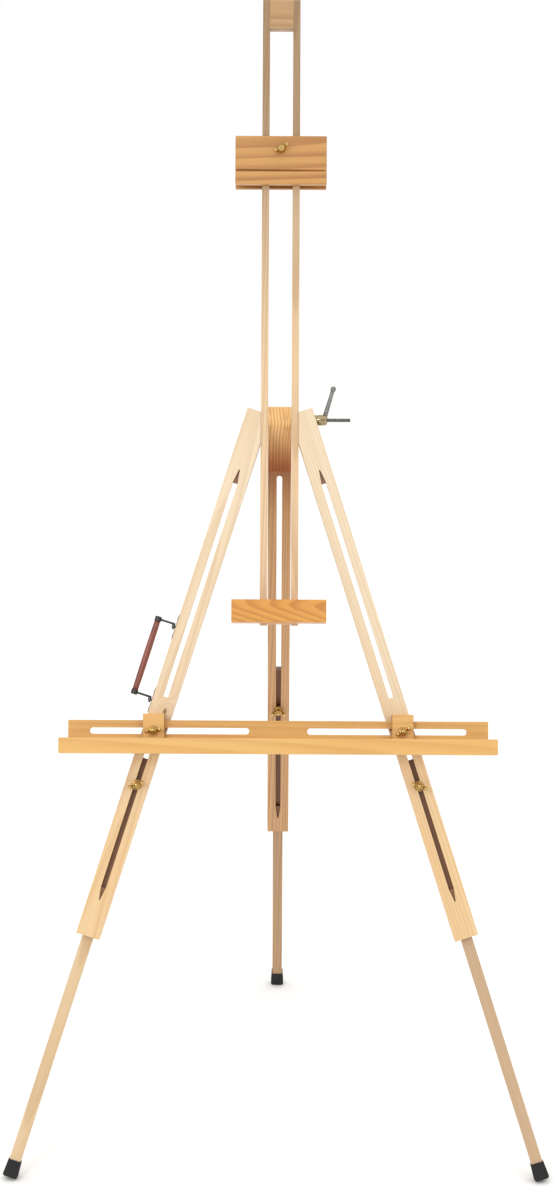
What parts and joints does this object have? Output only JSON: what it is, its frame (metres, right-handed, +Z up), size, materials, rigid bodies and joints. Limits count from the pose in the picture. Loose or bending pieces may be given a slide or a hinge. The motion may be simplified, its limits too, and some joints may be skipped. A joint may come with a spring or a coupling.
{
  "type": "tripod field easel",
  "caption": "Folding wooden tripod easel with sliding mast, canvas clamp and ledge, slotted tray, telescopic legs and a carrying handle.",
  "frame": {"origin": "on the floor, under the middle of the footprint of the three feet", "axes": "+Z up, +X to the right of a painter facing the easel, +Y from the painter towards the rear leg"},
  "size_m": [0.84, 0.7807, 1.7777],
  "materials": {
    "leg_wood": "clear lacquered pine, satin",
    "inner_leg_wood": "clear lacquered pine, satin",
    "mast_wood": "clear lacquered pine, satin",
    "ledge_wood": "lacquered pine with strong grain",
    "clamp_wood": "lacquered pine with strong grain",
    "tray_wood": "lacquered pine, honey toned",
    "grip_wood": "reddish-brown stained and varnished",
    "steel": "zinc plated",
    "black_metal": "blackened wire",
    "brass": "brass plated, slightly tarnished",
    "rubber": "matt black"
  },
  "bodies": {
    "head": {"head_bush": "steel"},
    "mast": {"mast_rail_left": "mast_wood", "mast_rail_right": "mast_wood", "mast_top_block": "mast_wood", "mast_bottom_block": "mast_wood", "mast_block_screws": "steel", "canvas_ledge": "ledge_wood", "ledge_screws": "steel"},
    "clamp": {"clamp_front_board": "clamp_wood", "clamp_back_board": "clamp_wood", "clamp_insert_nut": "brass"},
    "clamp_screw": {"clamp_wing_screw": "brass"},
    "head_bolt": {"head_bolt": "steel"},
    "lever_washer": {"lever_washer": "steel"},
    "clamp_lever": {"clamp_lever": "steel"},
    "rear_leg": {"rear_outer_leg": "leg_wood", "rear_head_block": "leg_wood", "rear_head_block_screws": "steel", "rear_keeper": "steel", "rear_keeper_screws": "steel"},
    "rear_inner_leg": {"rear_inner_leg": "inner_leg_wood", "rear_foot": "rubber", "rear_lock_bolt": "steel", "rear_lock_washer": "steel"},
    "rear_lock_nut": {"rear_lock_wing_nut": "brass"},
    "tray": {"tray_back_board": "tray_wood", "tray_shelf": "tray_wood", "tray_lip": "tray_wood", "tray_end_cheeks": "tray_wood", "tray_screws": "steel"},
    "handle": {"handle_grip": "grip_wood", "handle_ferrules": "black_metal", "handle_links": "black_metal"},
    "left_leg": {"left_outer_leg": "leg_wood", "left_keeper": "steel", "left_keeper_screws": "steel", "handle_plates": "steel", "handle_plate_screws": "steel"},
    "left_inner_leg": {"left_inner_leg": "inner_leg_wood", "left_foot": "rubber", "left_lock_bolt": "steel", "left_lock_washer": "steel"},
    "left_lock_nut": {"left_lock_wing_nut": "brass"},
    "left_tray_fixing": {"left_tray_bolt": "steel", "left_tray_block": "tray_wood", "left_tray_washer": "steel"},
    "left_tray_nut": {"left_tray_wing_nut": "brass"},
    "right_leg": {"right_outer_leg": "leg_wood", "right_keeper": "steel", "right_keeper_screws": "steel"},
    "right_inner_leg": {"right_inner_leg": "inner_leg_wood", "right_foot": "rubber", "right_lock_bolt": "steel", "right_lock_washer": "steel"},
    "right_lock_nut": {"right_lock_wing_nut": "brass"},
    "right_tray_fixing": {"right_tray_bolt": "steel", "right_tray_block": "tray_wood", "right_tray_washer": "steel"},
    "right_tray_nut": {"right_tray_wing_nut": "brass"}
  },
  "joints": [
    {"name": "front_leg_fold", "type": "hinge", "parent": "head", "child": "left_leg", "pos_m": [-0.0322, -0.05503, 1.09523], "axis": [0, -0.954, 0.2997], "range_deg": [0, 17.55]},
    {"name": "right_leg_fold", "type": "hinge", "parent": "head", "child": "right_leg", "pos_m": [0.0322, -0.05503, 1.09523], "axis": [0, 0.954, -0.2997], "range_deg": [0, 17.55]},
    {"name": "left_leg_slide", "type": "slide", "parent": "left_leg", "child": "left_inner_leg", "axis": [-0.3015, -0.2858, -0.9096], "range_m": [-0.035, 0.16]},
    {"name": "left_lock_nut_turn", "type": "hinge", "parent": "left_inner_leg", "child": "left_lock_nut", "pos_m": [-0.21945, -0.22371, 0.58498], "axis": [0, -0.954, 0.2997], "continuous": true},
    {"name": "left_tray_pivot", "type": "hinge", "parent": "left_leg", "child": "left_tray_fixing", "pos_m": [-0.19291, -0.19093, 0.66263], "axis": [0, -0.954, 0.2997], "range_deg": [-17.55, 0]},
    {"name": "left_tray_nut_turn", "type": "hinge", "parent": "left_tray_fixing", "child": "left_tray_nut", "pos_m": [-0.19291, -0.21956, 0.67162], "axis": [0, -0.954, 0.2997], "continuous": true},
    {"name": "right_leg_slide", "type": "slide", "parent": "right_leg", "child": "right_inner_leg", "axis": [0.3015, -0.2858, -0.9096], "range_m": [-0.035, 0.16]},
    {"name": "right_lock_nut_turn", "type": "hinge", "parent": "right_inner_leg", "child": "right_lock_nut", "pos_m": [0.21945, -0.22371, 0.58498], "axis": [0, -0.954, 0.2997], "continuous": true},
    {"name": "right_tray_pivot", "type": "hinge", "parent": "right_leg", "child": "right_tray_fixing", "pos_m": [0.19291, -0.19093, 0.66263], "axis": [0, 0.954, -0.2997], "range_deg": [-17.55, 0]},
    {"name": "right_tray_nut_turn", "type": "hinge", "parent": "right_tray_fixing", "child": "right_tray_nut", "pos_m": [0.19291, -0.21956, 0.67162], "axis": [0, -0.954, 0.2997], "continuous": true},
    {"name": "tray_slide", "type": "slide", "parent": "left_tray_fixing", "child": "tray", "axis": [1, 0, 0], "range_m": [-0.14421, 0]},
    {"name": "head_bolt_slide", "type": "slide", "parent": "head", "child": "head_bolt", "axis": [-1, 0, 0], "range_m": [0, 0.0165]},
    {"name": "lever_slide", "type": "slide", "parent": "head", "child": "lever_washer", "axis": [1, 0, 0], "range_m": [0, 0.0165]},
    {"name": "lever_turn", "type": "hinge", "parent": "lever_washer", "child": "clamp_lever", "pos_m": [0.06, -0.03208, 1.12827], "axis": [1, 0, 0], "continuous": true},
    {"name": "rear_leg_fold", "type": "hinge", "parent": "head", "child": "rear_leg", "pos_m": [0, -0.03208, 1.12827], "axis": [-1, 0, 0], "range_deg": [0, 36.34]},
    {"name": "rear_leg_slide", "type": "slide", "parent": "rear_leg", "child": "rear_inner_leg", "axis": [0, 0.3239, -0.9461], "range_m": [-0.325, 0.19]},
    {"name": "rear_lock_nut_turn", "type": "hinge", "parent": "rear_inner_leg", "child": "rear_lock_nut", "pos_m": [0, 0.15311, 0.59447], "axis": [0, -0.9461, -0.3239], "continuous": true},
    {"name": "mast_slide", "type": "slide", "parent": "head", "child": "mast", "axis": [0, 0.2997, 0.954], "range_m": [-0.13, 0.215]},
    {"name": "clamp_slide", "type": "slide", "parent": "mast", "child": "clamp", "axis": [0, -0.2997, -0.954], "range_m": [-0.18, 0.335]},
    {"name": "clamp_screw_turn", "type": "hinge", "parent": "clamp", "child": "clamp_screw", "pos_m": [0, 0.06645, 1.54866], "axis": [0, -0.954, 0.2997], "continuous": true},
    {"name": "handle_swing", "type": "hinge", "parent": "left_leg", "child": "handle", "pos_m": [-0.18314, -0.14747, 0.76095], "axis": [0.3015, 0.2858, 0.9096], "range_deg": [-90, 90]}
  ],
  "couplings": [
    {"joint": "right_leg_fold", "follows": "front_leg_fold", "ratio": 1},
    {"joint": "left_tray_pivot", "follows": "front_leg_fold", "ratio": -1},
    {"joint": "right_tray_pivot", "follows": "front_leg_fold", "ratio": -1},
    {"joint": "tray_slide", "follows": "front_leg_fold", "m_per_rad": -0.4708},
    {"joint": "head_bolt_slide", "follows": "front_leg_fold", "m_per_rad": 0.053862},
    {"joint": "lever_slide", "follows": "front_leg_fold", "m_per_rad": 0.053862}
  ]
}
